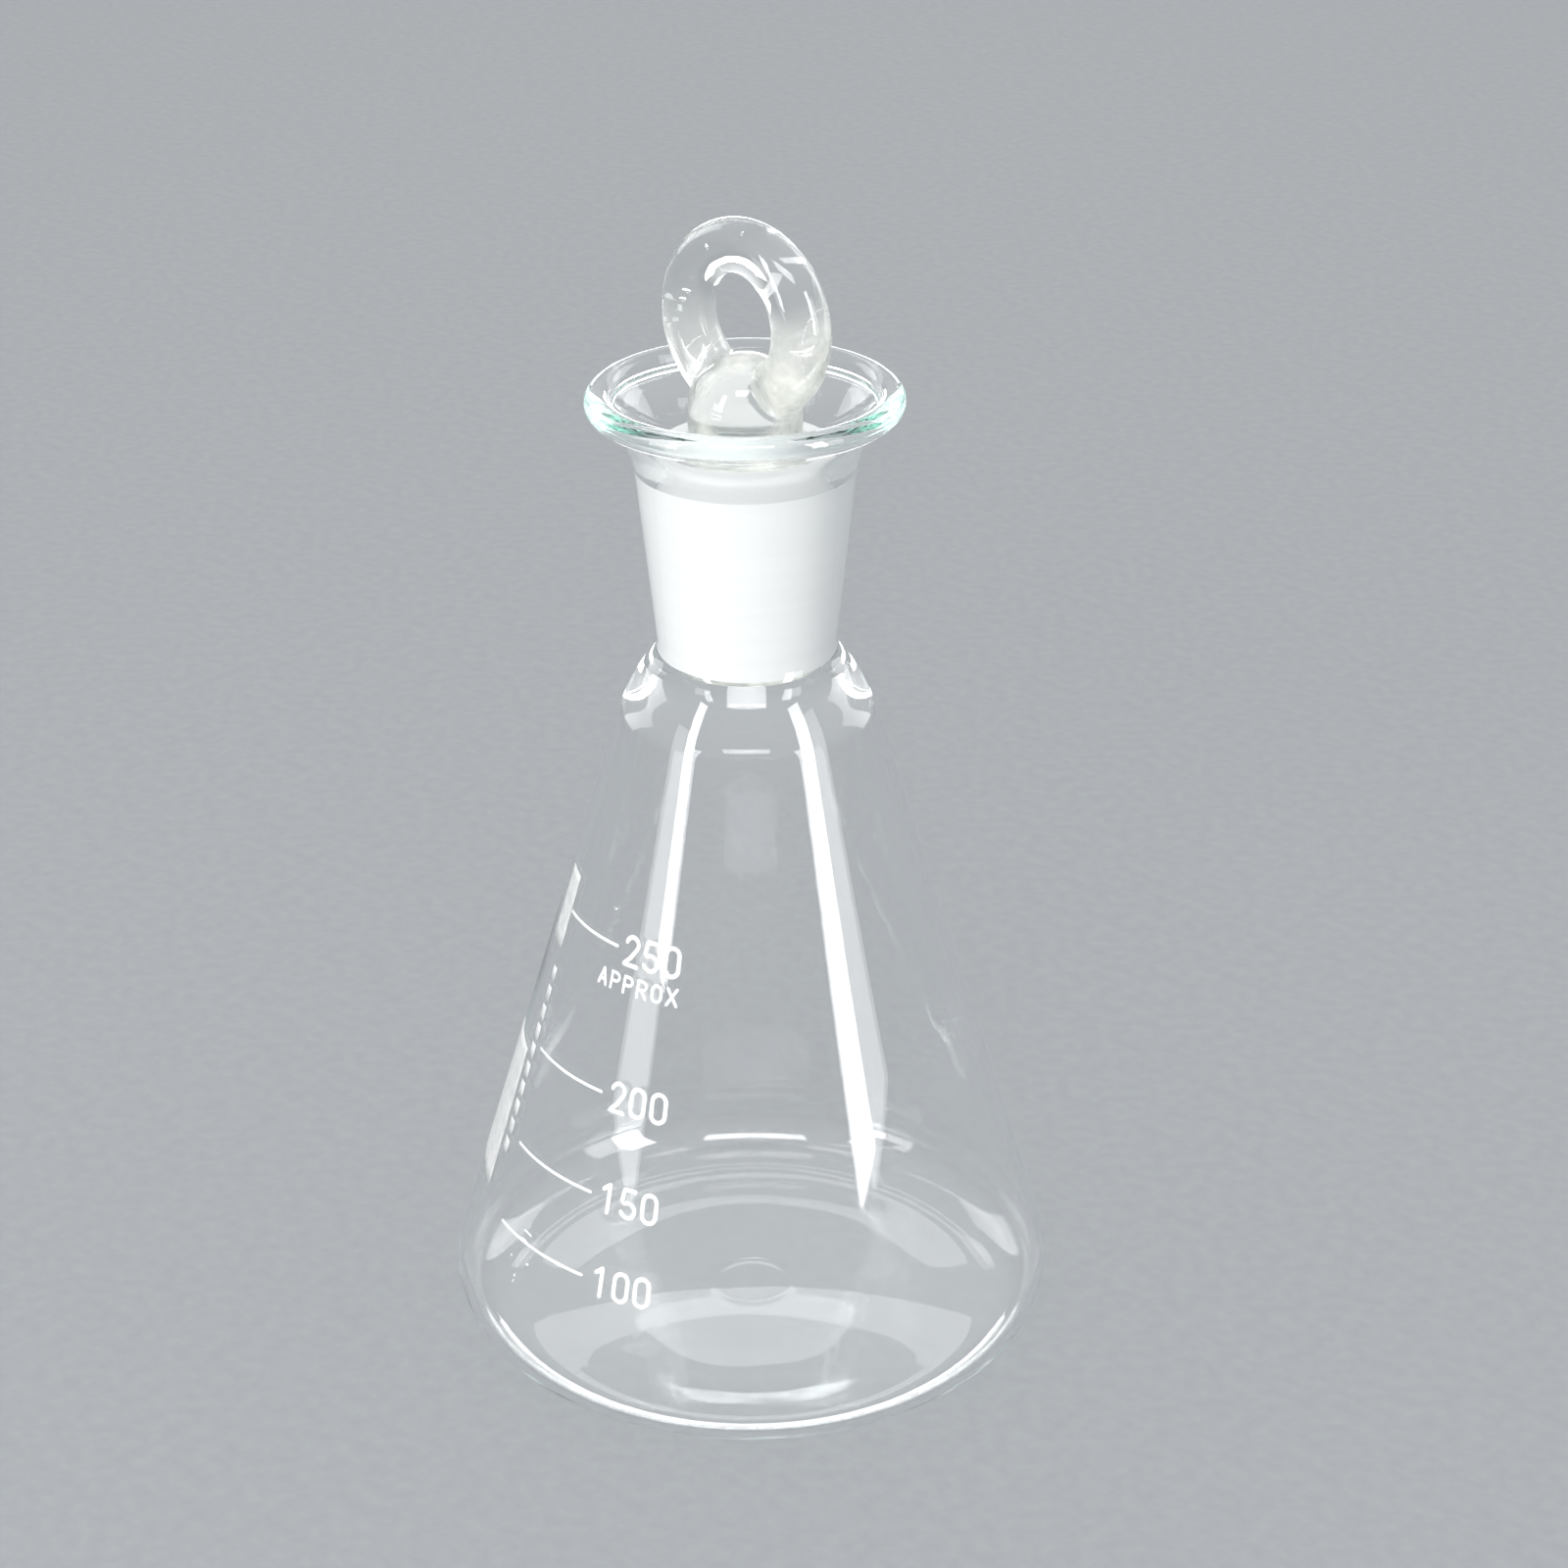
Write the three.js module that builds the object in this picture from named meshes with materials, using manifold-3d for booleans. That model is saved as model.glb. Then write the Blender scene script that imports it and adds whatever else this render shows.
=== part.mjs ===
// Conical flask, 250 ml, with a mouth cup, a ground neck socket and a ground stopper with a loop
// handle. Millimetres, +Z up. The origin is on the flask's axis at the level it stands on.
// The loop lies in the XZ plane, and the scale printed on the cone faces -Y.
import * as THREE from 'three';
import { mergeVertices } from 'three/addons/utils/BufferGeometryUtils.js';
import Module from 'manifold-3d';

const wasm = await Module();
wasm.setup();

// ---------------------------------------------------------------- driving dimensions
const SEGMENTS = 48;             // facets round every turned piece
const BASE_RADIUS = 42.5;        // widest radius of the rounded heel, to the crossing of its tangents
const HEEL_RADIUS = 9;           // outside rounding between floor and cone
const CONE_LEAN = 16.5;          // degrees the cone wall leans in from upright
const WALL = 1.2;                // wall of the cone
const FLOOR_THICKNESS = 2.6;
const FLOOR_RISE = 1.2;          // how far the middle of the floor is pushed up off the table
const STANDING_INNER_RADIUS = 27; // inside edge of the ring the flask stands on
const PUNT_EDGE = 3;             // how far inside that edge the underside has risen by half

const SHOULDER_START = 93.5;     // height where the cone begins to turn in
const SHOULDER_RADIUS = 26;      // outside rounding of the shoulder
const SHOULDER_END_LEAN = 40;    // lean of the shoulder where it turns up into the neck
const THROAT_LEAN = 3;           // lean of the inside where it runs up into the socket

const SOCKET_BOTTOM = 102.6;
const NECK_FOOT = 105;           // height where the outside of the neck is straight
const SOCKET_TOP = 129;
const SOCKET_TOP_BORE = 12;      // bore radius at the wide end of the standard taper
const JOINT_TAPER = 0.05;        // radius gained per millimetre of height, 1 in 10 on diameter
const NECK_TOP_RADIUS = 14.75;   // outside of the neck at the top of the socket
const NECK_LEAN = 6.2;           // degrees the outside of the neck leans out

const MOUTH_HEIGHT = 140.4;
const BEAD_RADIUS = 1.8;         // section of the fire-polished lip
const MOUTH_RADIUS = 21.2;       // outside of the lip
const CUP_OUTER_LEAN = 50;       // leans of the cup's two faces where they meet the lip
const CUP_INNER_LEAN = 36;

const JOINT_CLEARANCE = 0.05;    // radial, so that the ground faces do not overlap
const PLUG_BOTTOM = 101.2;
const PLUG_TOP = 132.5;
const PLUG_EDGE = 1.1;           // rounding of the plug's ends
const KNUCKLE_RADIUS = 7.6;      // clear glass between plug and loop, domed on top
const KNUCKLE_TOP = 144.9;
const KNUCKLE_FILLET = 1.6;

const LOOP_CENTRE_HEIGHT = 149.5;
const LOOP_RADIUS = 10;          // centreline of the ring
const LOOP_ROD_RADIUS = 3.85;
const LOOP_STEPS = 32;
const LOOP_ROD_SIDES = 12;
const CUT_GAP = 0.3;             // kept between the loop and the knuckle it springs from

const PRINT_LIFT = 0.06;         // inner face of the print above the true cone
const PRINT_THICKNESS = 0.2;
const DIGIT_HEIGHT = 4.6;
const DIGIT_WIDTH = 2.7;
const DIGIT_PITCH = 3.2;
const DIGIT_STROKE = 0.62;
const LETTER_HEIGHT = 2.7;
const LETTER_WIDTH = 1.85;
const LETTER_PITCH = 2.3;
const LETTER_STROKE = 0.5;
const NUMERAL_RIGHT_EDGE = 22;   // degrees round the cone from -Y, shared by every numeral
const LINE_SPAN = 27.5;          // degrees covered by each graduation line
const LINE_GAP = 2.8;            // degrees between a line and its numeral
const LINE_WIDTH = 0.55;
const GRADUATIONS = [
  { label: '100', height: 23.2 },
  { label: '150', height: 34.5 },
  { label: '200', height: 48.0 },
  { label: '250', height: 67.4 },
];
const WORD = 'APPROX';
const WORD_DROP = 4.5;           // how far it is below the top graduation

// A plain panel to write on, and two plain marks where a maker's printing would be.
const PANELS = [
  { name: 'writing_panel', width: 10, tall: 22, azimuth: -42, height: 35 },
  { name: 'label_patch', width: 4.5, tall: 11, azimuth: -35, height: 67 },
  { name: 'label_bar', width: 1.6, tall: 30, azimuth: -30, height: 45 },
];

// ---------------------------------------------------------------- small helpers
const radians = THREE.MathUtils.degToRad;
const degrees = THREE.MathUtils.radToDeg;
const point = (x, y) => new THREE.Vector2(x, y);

// Points of an arc from one angle to another, in degrees, both ends included.
function arc(centreX, centreY, radius, from, to, steps) {
  const points = [];
  for (let i = 0; i <= steps; i += 1) {
    const angle = radians(from + ((to - from) * i) / steps);
    points.push(point(centreX + radius * Math.cos(angle), centreY + radius * Math.sin(angle)));
  }
  return points;
}

// A solid of revolution about +Z from an outline that runs up the outside and down the inside.
function turned(outline) {
  const geometry = new THREE.LatheGeometry(outline, SEGMENTS);
  geometry.rotateX(Math.PI / 2);
  return geometry;
}

function toManifold(geometry) {
  const bare = geometry.clone();
  bare.deleteAttribute('normal');
  bare.deleteAttribute('uv');
  const merged = mergeVertices(bare, 1e-4);
  return new wasm.Manifold(new wasm.Mesh({
    numProp: 3,
    vertProperties: merged.getAttribute('position').array,
    triVerts: new Uint32Array(merged.getIndex().array),
  }));
}

function fromManifold(solid) {
  const mesh = solid.getMesh();
  const geometry = new THREE.BufferGeometry();
  geometry.setAttribute('position', new THREE.BufferAttribute(mesh.vertProperties, 3));
  geometry.setIndex(new THREE.BufferAttribute(mesh.triVerts, 1));
  geometry.computeVertexNormals();
  return geometry;
}

// ---------------------------------------------------------------- shared outlines of the glass
const leanTan = Math.tan(radians(CONE_LEAN));
const leanCos = Math.cos(radians(CONE_LEAN));
const leanSin = Math.sin(radians(CONE_LEAN));
const heelCentre = point(BASE_RADIUS - HEEL_RADIUS, HEEL_RADIUS);
const heelTop = HEEL_RADIUS * (1 + leanSin);
const heelTopRadius = heelCentre.x + HEEL_RADIUS * leanCos;

const coneRadius = (height) => heelTopRadius - (height - heelTop) * leanTan;
const innerConeRadius = (height) => coneRadius(height) - WALL / leanCos;
const boreRadius = (height) => SOCKET_TOP_BORE - (SOCKET_TOP - height) * JOINT_TAPER;
const neckRadius = (height) => NECK_TOP_RADIUS
  - (SOCKET_TOP - height) * Math.tan(radians(NECK_LEAN));

const beadCentre = point(MOUTH_RADIUS - BEAD_RADIUS, MOUTH_HEIGHT - BEAD_RADIUS);
const beadInnerJoin = 183;       // angles round the lip's section between which the cup joins it
const beadOuterJoin = 257;
const beadJoin = () => arc(beadCentre.x, beadCentre.y, BEAD_RADIUS, beadOuterJoin, beadInnerJoin, 3);

// Cubic outline between two points that leaves and arrives along given leans from upright.
function sweep(start, startLean, end, endLean, steps) {
  const reach = start.distanceTo(end) / 3;
  const heading = (lean) => point(Math.sin(radians(lean)), Math.cos(radians(lean)));
  const curve = new THREE.CubicBezierCurve(
    start,
    start.clone().addScaledVector(heading(startLean), reach),
    end.clone().addScaledVector(heading(endLean), -reach),
    end,
  );
  return curve.getPoints(steps);
}

// ---------------------------------------------------------------- flask
function vesselBase() {
  return turned([
    point(0, FLOOR_RISE),
    point(STANDING_INNER_RADIUS - PUNT_EDGE, FLOOR_RISE / 2),
    point(STANDING_INNER_RADIUS, 0),
    ...arc(heelCentre.x, heelCentre.y, HEEL_RADIUS, -90, CONE_LEAN, 6),
    ...arc(heelCentre.x, heelCentre.y, HEEL_RADIUS - WALL, CONE_LEAN, -80, 4),
    point(STANDING_INNER_RADIUS, FLOOR_THICKNESS),
    point(0, FLOOR_RISE + FLOOR_THICKNESS),
  ]);
}

function vesselWall() {
  const innerHeel = HEEL_RADIUS - WALL;
  const innerFoot = point(heelCentre.x + innerHeel * leanCos, heelCentre.y + innerHeel * leanSin);
  return turned([
    innerFoot,
    point(heelTopRadius, heelTop),
    point(coneRadius(SHOULDER_START), SHOULDER_START),
    point(innerConeRadius(SHOULDER_START), SHOULDER_START),
    innerFoot,
  ]);
}

// The shoulder turns in from the cone, then sweeps back up into the neck.
function vesselShoulder() {
  const start = point(coneRadius(SHOULDER_START), SHOULDER_START);
  const centre = point(start.x - SHOULDER_RADIUS * leanCos, start.y - SHOULDER_RADIUS * leanSin);
  const outside = arc(centre.x, centre.y, SHOULDER_RADIUS, CONE_LEAN, SHOULDER_END_LEAN, 4);
  const end = outside[outside.length - 1];
  const neckFoot = point(neckRadius(NECK_FOOT), NECK_FOOT);
  const fillet = sweep(end, -SHOULDER_END_LEAN, neckFoot, NECK_LEAN, 3);
  const innerStart = point(innerConeRadius(SHOULDER_START), SHOULDER_START);
  const throat = point(boreRadius(SOCKET_BOTTOM), SOCKET_BOTTOM);
  const inside = sweep(innerStart, -CONE_LEAN, throat, THROAT_LEAN, 5);
  return turned([
    innerStart,
    ...outside,
    ...fillet.slice(1),
    point(boreRadius(NECK_FOOT), NECK_FOOT),
    ...inside.reverse(),
  ]);
}

function groundSocket() {
  const innerFoot = point(boreRadius(NECK_FOOT), NECK_FOOT);
  return turned([
    innerFoot,
    point(neckRadius(NECK_FOOT), NECK_FOOT),
    point(NECK_TOP_RADIUS, SOCKET_TOP),
    point(SOCKET_TOP_BORE, SOCKET_TOP),
    innerFoot,
  ]);
}

// The cup flares from the top of the socket to the lip, and holds the water that seals the joint.
function mouthCup() {
  const join = beadJoin();
  const outerStart = point(NECK_TOP_RADIUS, SOCKET_TOP);
  const innerStart = point(SOCKET_TOP_BORE, SOCKET_TOP);
  const outside = sweep(outerStart, NECK_LEAN, join[0], CUP_OUTER_LEAN, 5);
  const inside = sweep(innerStart, NECK_LEAN, join[join.length - 1], CUP_INNER_LEAN, 5);
  return turned([
    innerStart,
    ...outside,
    ...join.slice(1),
    ...inside.reverse().slice(1),
  ]);
}

function mouthBead() {
  const free = arc(
    beadCentre.x,
    beadCentre.y,
    BEAD_RADIUS,
    beadOuterJoin - 360,
    beadInnerJoin,
    9,
  );
  return turned([...free, ...beadJoin().reverse().slice(1)]);
}

// ---------------------------------------------------------------- stopper
function stopperPlug() {
  const radius = (height) => boreRadius(height) - JOINT_CLEARANCE;
  const low = PLUG_BOTTOM + PLUG_EDGE;
  const high = PLUG_TOP - PLUG_EDGE;
  return turned([
    point(0, PLUG_BOTTOM),
    ...arc(radius(low) - PLUG_EDGE, low, PLUG_EDGE, -90, 0, 3),
    ...arc(radius(high) - PLUG_EDGE, high, PLUG_EDGE, 0, 90, 3),
    point(0, PLUG_TOP),
  ]);
}

function knuckleOutline(growth) {
  const radius = KNUCKLE_RADIUS + growth;
  const fillet = KNUCKLE_FILLET;
  const domeBase = KNUCKLE_TOP - KNUCKLE_RADIUS;
  return [
    point(0, PLUG_TOP),
    ...arc(radius + fillet, PLUG_TOP + fillet, fillet, -90, -180, 3),
    ...arc(0, domeBase, radius, 0, 90, 7),
  ];
}

function stopperKnuckle() {
  return turned(knuckleOutline(0));
}

// A round rod bent into a ring, cut where it springs from the knuckle.
function stopperLoop() {
  const ring = new THREE.TorusGeometry(LOOP_RADIUS, LOOP_ROD_RADIUS, LOOP_ROD_SIDES, LOOP_STEPS);
  ring.rotateX(Math.PI / 2);
  ring.translate(0, 0, LOOP_CENTRE_HEIGHT);
  const knuckle = turned(knuckleOutline(CUT_GAP));
  return fromManifold(toManifold(ring).subtract(toManifold(knuckle)));
}

// ---------------------------------------------------------------- fired enamel print
// Lays a flat piece on the cone. Its x runs round the wall, y runs up the slope, z stands off it.
function layOnCone(geometry, azimuth, height) {
  const position = geometry.getAttribute('position');
  for (let i = 0; i < position.count; i += 1) {
    const up = position.getY(i) * leanCos;
    const off = position.getZ(i) + PRINT_LIFT;
    const level = height + up;
    const angle = radians(azimuth) + position.getX(i) / coneRadius(height);
    const radius = coneRadius(level) + off * leanCos;
    position.setXYZ(i, radius * Math.sin(angle), -radius * Math.cos(angle), level + off * leanSin);
  }
  geometry.computeVertexNormals();
  return geometry;
}

// A printed patch, with enough steps round the wall to follow it.
function patch(width, tall, azimuth, height) {
  const steps = Math.max(2, Math.ceil(width / 2));
  const flat = new THREE.BoxGeometry(width, tall, PRINT_THICKNESS, steps, 1, 1);
  flat.translate(0, 0, PRINT_THICKNESS / 2);
  return layOnCone(flat, azimuth, height);
}

// The outline of a stroke of constant width along a centreline, with square ends.
function stroke(centreline, width) {
  const left = [];
  const right = [];
  centreline.forEach((here, i) => {
    const before = centreline[Math.max(i - 1, 0)];
    const after = centreline[Math.min(i + 1, centreline.length - 1)];
    const into = here.clone().sub(i === 0 ? after.clone().lerp(here, 2) : before).normalize();
    const outOf = i === centreline.length - 1 ? into : after.clone().sub(here).normalize();
    const heading = into.clone().add(outOf).normalize();
    const spread = width / 2 / Math.max(heading.dot(outOf), 0.5);
    left.push(point(here.x - heading.y * spread, here.y + heading.x * spread));
    right.push(point(here.x + heading.y * spread, here.y - heading.x * spread));
  });
  return new THREE.Shape([...right, ...left.reverse()]);
}

// An upright loop with straight sides and round ends, centred on the origin.
function oval(width, tall) {
  const radius = width / 2;
  const straight = tall / 2 - radius;
  return [...arc(0, straight, radius, 0, 180, 6), ...arc(0, -straight, radius, 180, 360, 6)];
}

function ring(width, tall, strokeWidth) {
  const shape = new THREE.Shape(oval(width, tall));
  shape.holes.push(new THREE.Path(oval(width - 2 * strokeWidth, tall - 2 * strokeWidth)));
  return shape;
}

// Every character is drawn about its own middle.
const digitTop = (DIGIT_HEIGHT - DIGIT_STROKE) / 2;
const digitSide = (DIGIT_WIDTH - DIGIT_STROKE) / 2;
const letterTop = LETTER_HEIGHT / 2;
const letterSide = LETTER_WIDTH / 2;

// The upright, bowl and counter that P and R share, with the foot left open for what follows.
function bowlLetter(foot) {
  const bowl = LETTER_HEIGHT * 0.29;
  const bowlCentre = letterTop - bowl;
  const bowlX = letterSide - bowl;
  const inner = bowl - LETTER_STROKE;
  const shape = new THREE.Shape([
    point(-letterSide, -letterTop),
    point(-letterSide + LETTER_STROKE, -letterTop),
    point(-letterSide + LETTER_STROKE, bowlCentre - bowl),
    ...foot(bowlCentre - bowl),
    ...arc(bowlX, bowlCentre, bowl, -90, 90, 5),
    point(-letterSide, letterTop),
  ]);
  shape.holes.push(new THREE.Path([
    point(-letterSide + LETTER_STROKE, bowlCentre - inner),
    ...arc(bowlX, bowlCentre, inner, -90, 90, 4),
    point(-letterSide + LETTER_STROKE, bowlCentre + inner),
  ]));
  return shape;
}

const characters = {
  0: () => ring(DIGIT_WIDTH, DIGIT_HEIGHT, DIGIT_STROKE),
  1: () => stroke([point(-0.85, digitTop - 0.7), point(0.1, digitTop), point(0.1, -digitTop)],
    DIGIT_STROKE),
  2: () => stroke([
    ...arc(0, digitTop - digitSide, digitSide, 170, -30, 7),
    point(-digitSide, -digitTop),
    point(digitSide + 0.2, -digitTop),
  ], DIGIT_STROKE),
  5: () => stroke([
    point(digitSide, digitTop),
    point(-digitSide * 0.8, digitTop),
    point(-digitSide, 0.2),
    ...arc(0, -digitTop + digitSide, digitSide, 110, -160, 8),
  ], DIGIT_STROKE),
  A: () => {
    const barLow = -letterTop + LETTER_STROKE * 1.0;
    const barHigh = barLow + LETTER_STROKE * 0.9;
    const legTilt = (letterSide - LETTER_STROKE / 2) / LETTER_HEIGHT;
    const inside = (height) => letterSide - LETTER_STROKE - (height + letterTop) * legTilt;
    const shape = new THREE.Shape([
      point(-letterSide, -letterTop),
      point(-letterSide + LETTER_STROKE, -letterTop),
      point(-inside(barLow), barLow),
      point(inside(barLow), barLow),
      point(letterSide - LETTER_STROKE, -letterTop),
      point(letterSide, -letterTop),
      point(LETTER_STROKE / 2, letterTop),
      point(-LETTER_STROKE / 2, letterTop),
    ]);
    const peak = barHigh + (letterTop - barHigh) * 0.5;
    shape.holes.push(new THREE.Path([
      point(-inside(barHigh), barHigh),
      point(inside(barHigh), barHigh),
      point(0, peak),
    ]));
    return shape;
  },
  P: () => bowlLetter(() => []),
  R: () => bowlLetter((waist) => [
    point(-letterSide + LETTER_STROKE * 1.4, waist),
    point(letterSide - LETTER_STROKE, -letterTop),
    point(letterSide, -letterTop),
    point(-letterSide + LETTER_STROKE * 2.5, waist),
  ]),
  O: () => ring(LETTER_WIDTH, LETTER_HEIGHT, LETTER_STROKE),
  X: () => {
    const arm = LETTER_STROKE * 0.6;
    const notch = arm * (LETTER_HEIGHT / LETTER_WIDTH);
    return new THREE.Shape([
      point(-letterSide, -letterTop),
      point(-letterSide + 2 * arm, -letterTop),
      point(0, -notch),
      point(letterSide - 2 * arm, -letterTop),
      point(letterSide, -letterTop),
      point(arm, 0),
      point(letterSide, letterTop),
      point(letterSide - 2 * arm, letterTop),
      point(0, notch),
      point(-letterSide + 2 * arm, letterTop),
      point(-letterSide, letterTop),
      point(-arm, 0),
    ]);
  },
};

function printed(character, across, azimuth, height) {
  const flat = new THREE.ExtrudeGeometry(characters[character](), {
    depth: PRINT_THICKNESS,
    bevelEnabled: false,
  });
  flat.translate(across, 0, 0);
  return layOnCone(flat, azimuth, height);
}

// ---------------------------------------------------------------- materials and assembly
const clearGlass = () => new THREE.MeshStandardMaterial({
  color: 0xe8f4f0, roughness: 0.03, metalness: 0, transparent: true, opacity: 0.35,
});
const groundGlass = () => new THREE.MeshStandardMaterial({ color: 0xf2f2ee, roughness: 0.7, metalness: 0 });
const whiteEnamel = () => new THREE.MeshStandardMaterial({ color: 0xf7f7f4, roughness: 0.5, metalness: 0 });

const flask = new THREE.Group();

function addPiece(name, geometry, material) {
  const mesh = new THREE.Mesh(geometry, material);
  mesh.name = name;
  flask.add(mesh);
}

addPiece('vessel_base', vesselBase(), clearGlass());
addPiece('vessel_wall', vesselWall(), clearGlass());
addPiece('vessel_shoulder', vesselShoulder(), clearGlass());
addPiece('ground_socket', groundSocket(), groundGlass());
addPiece('mouth_cup', mouthCup(), clearGlass());
addPiece('mouth_bead', mouthBead(), clearGlass());

addPiece('stopper_plug', stopperPlug(), groundGlass());
addPiece('stopper_knuckle', stopperKnuckle(), clearGlass());
addPiece('stopper_loop', stopperLoop(), clearGlass());

GRADUATIONS.forEach(({ label, height }) => {
  const radius = coneRadius(height);
  const block = DIGIT_PITCH * (label.length - 1) + DIGIT_WIDTH;
  const lineEnd = NUMERAL_RIGHT_EDGE - degrees(block / radius) - LINE_GAP;
  const lineLength = radians(LINE_SPAN) * radius;
  addPiece(`graduation_${label}`, patch(lineLength, LINE_WIDTH, lineEnd - LINE_SPAN / 2, height),
    whiteEnamel());
  [...label].forEach((character, i) => {
    const across = DIGIT_WIDTH / 2 + DIGIT_PITCH * i - block;
    addPiece(`numeral_${label}_digit_${i + 1}`,
      printed(character, across, NUMERAL_RIGHT_EDGE, height), whiteEnamel());
  });
});

const wordHeight = GRADUATIONS[GRADUATIONS.length - 1].height - WORD_DROP;
const wordBlock = LETTER_PITCH * (WORD.length - 1) + LETTER_WIDTH;
[...WORD].forEach((character, i) => {
  const across = LETTER_WIDTH / 2 + LETTER_PITCH * i - wordBlock;
  addPiece(`word_letter_${i + 1}`,
    printed(character, across, NUMERAL_RIGHT_EDGE, wordHeight), whiteEnamel());
});

PANELS.forEach(({ name, width, tall, azimuth, height }) => {
  addPiece(name, patch(width, tall, azimuth, height), whiteEnamel());
});

export default flask;
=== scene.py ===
"""Looks of the conical flask: fused clear glass, ground joint, ring stopper and fired white print."""
import math

import bmesh
import bpy
from mathutils import Matrix, Vector


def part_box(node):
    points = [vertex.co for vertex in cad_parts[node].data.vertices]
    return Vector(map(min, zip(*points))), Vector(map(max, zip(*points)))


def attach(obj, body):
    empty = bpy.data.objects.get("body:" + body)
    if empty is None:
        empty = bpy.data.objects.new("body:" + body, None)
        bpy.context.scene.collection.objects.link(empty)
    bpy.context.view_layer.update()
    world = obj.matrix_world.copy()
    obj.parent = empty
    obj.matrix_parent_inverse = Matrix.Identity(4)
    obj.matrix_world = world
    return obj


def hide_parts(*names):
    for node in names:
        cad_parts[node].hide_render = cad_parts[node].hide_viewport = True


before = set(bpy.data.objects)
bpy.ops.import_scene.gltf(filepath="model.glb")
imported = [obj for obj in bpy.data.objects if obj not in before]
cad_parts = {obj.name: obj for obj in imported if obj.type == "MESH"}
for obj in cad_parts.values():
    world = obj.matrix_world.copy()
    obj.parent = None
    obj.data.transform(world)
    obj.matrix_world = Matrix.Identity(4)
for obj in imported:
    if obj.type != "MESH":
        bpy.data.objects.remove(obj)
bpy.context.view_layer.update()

MM = 0.001                       # every length below is in millimetres until a mesh is made
TURN_STEPS = 192                 # facets round every turned surface


def box(node):
    """Lowest and highest corners of a CAD node, in millimetres."""
    low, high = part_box(node)
    return low / MM, high / MM


# ------------------------------------------------------------------ sizes read from the frame
wall_low, wall_high = box("vessel_wall")
socket_low, socket_high = box("ground_socket")
bead_high = box("mouth_bead")[1]
plug_low, plug_high = box("stopper_plug")
knuckle_high = box("stopper_knuckle")[1]
loop_high = box("stopper_loop")[1]

HEEL_TOP = wall_low.z
HEEL_TOP_RADIUS = wall_high.x
SHOULDER_START = wall_high.z
NECK_FOOT = socket_low.z
SOCKET_TOP = socket_high.z
NECK_TOP_RADIUS = socket_high.x
MOUTH_RADIUS = bead_high.x
MOUTH_HEIGHT = bead_high.z
PLUG_BOTTOM = plug_low.z
PLUG_TOP = plug_high.z
KNUCKLE_TOP = knuckle_high.z
LOOP_OUTER = loop_high.x
LOOP_CENTRE = loop_high.z - LOOP_OUTER

# ------------------------------------------------------------------ the rest of the glass's shape
# Every lean is in degrees from upright, and positive outwards as the outline goes up.
CONE_LEAN = 16.5                 # the cone leans in by this much
WALL = 1.2
FLOOR_THICKNESS = 2.6            # in the middle
FLOOR_RISE = 1.2                 # how far the middle of the underside is pushed up
STANDING_INNER_RADIUS = 27       # inner edge of the flat ring that the flask stands on
SHOULDER_RADIUS = 26
SHOULDER_END_LEAN = 40
THROAT_LEAN = 3                  # where the inside runs up into the socket
SOCKET_BOTTOM = NECK_FOOT - 2.4
SOCKET_TOP_BORE = 12
JOINT_TAPER = 0.05               # radius gained for each millimetre of height
NECK_LEAN = 6.2
BEAD_RADIUS = 1.8                # section of the fire-polished lip
BEAD_START = -103                # degrees round that section where the outside of the cup ends
BEAD_END = 183                   # and where the inside of the cup begins
CUP_OUTER_LEAN = 50              # leans of the cup's two faces where they meet the lip
CUP_INNER_LEAN = 36
JOINT_CLEARANCE = 0.05           # between the ground faces, on radius
PLUG_EDGE = 1.1                  # rounding of the plug's two ends
KNUCKLE_RADIUS = 7.6
KNUCKLE_FLARE = 1.8              # radius of the hollow curve from the knuckle out to the plug
LOOP_ROD_RADIUS = 3.85
LOOP_RADIUS = LOOP_OUTER - LOOP_ROD_RADIUS

lean_tan = math.tan(math.radians(CONE_LEAN))
lean_cos = math.cos(math.radians(CONE_LEAN))
lean_sin = math.sin(math.radians(CONE_LEAN))
HEEL_RADIUS = HEEL_TOP / (1 + lean_sin)
HEEL_CENTRE = (HEEL_TOP_RADIUS - HEEL_RADIUS * lean_cos, HEEL_RADIUS)
BEAD_CENTRE = (MOUTH_RADIUS - BEAD_RADIUS, MOUTH_HEIGHT - BEAD_RADIUS)


def cone_radius(height):
    return HEEL_TOP_RADIUS - (height - HEEL_TOP) * lean_tan


def bore_radius(height):
    return SOCKET_TOP_BORE - (SOCKET_TOP - height) * JOINT_TAPER


def neck_radius(height):
    return NECK_TOP_RADIUS - (SOCKET_TOP - height) * math.tan(math.radians(NECK_LEAN))


# ------------------------------------------------------------------ outlines
def arc(centre, radius, start, end, steps):
    """Points of an arc between two angles in degrees, both ends included."""
    angles = [math.radians(start + (end - start) * i / steps) for i in range(steps + 1)]
    return [(centre[0] + radius * math.cos(a), centre[1] + radius * math.sin(a)) for a in angles]


def sweep(start, start_lean, end, end_lean, steps):
    """Cubic from start to end that leaves and arrives along given leans from upright."""
    reach = math.dist(start, end) / 3

    def along(point, lean, distance):
        a = math.radians(lean)
        return (point[0] + distance * math.sin(a), point[1] + distance * math.cos(a))

    pull = along(start, start_lean, reach)
    push = along(end, end_lean, -reach)
    points = []
    for i in range(steps + 1):
        t = i / steps
        weights = ((1 - t) ** 3, 3 * t * (1 - t) ** 2, 3 * t * t * (1 - t), t ** 3)
        corners = (start, pull, push, end)
        points.append(tuple(sum(w * c[k] for w, c in zip(weights, corners)) for k in (0, 1)))
    return points


def line(start, end, steps):
    return [tuple(a + (b - a) * i / steps for a, b in zip(start, end)) for i in range(steps + 1)]


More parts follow.
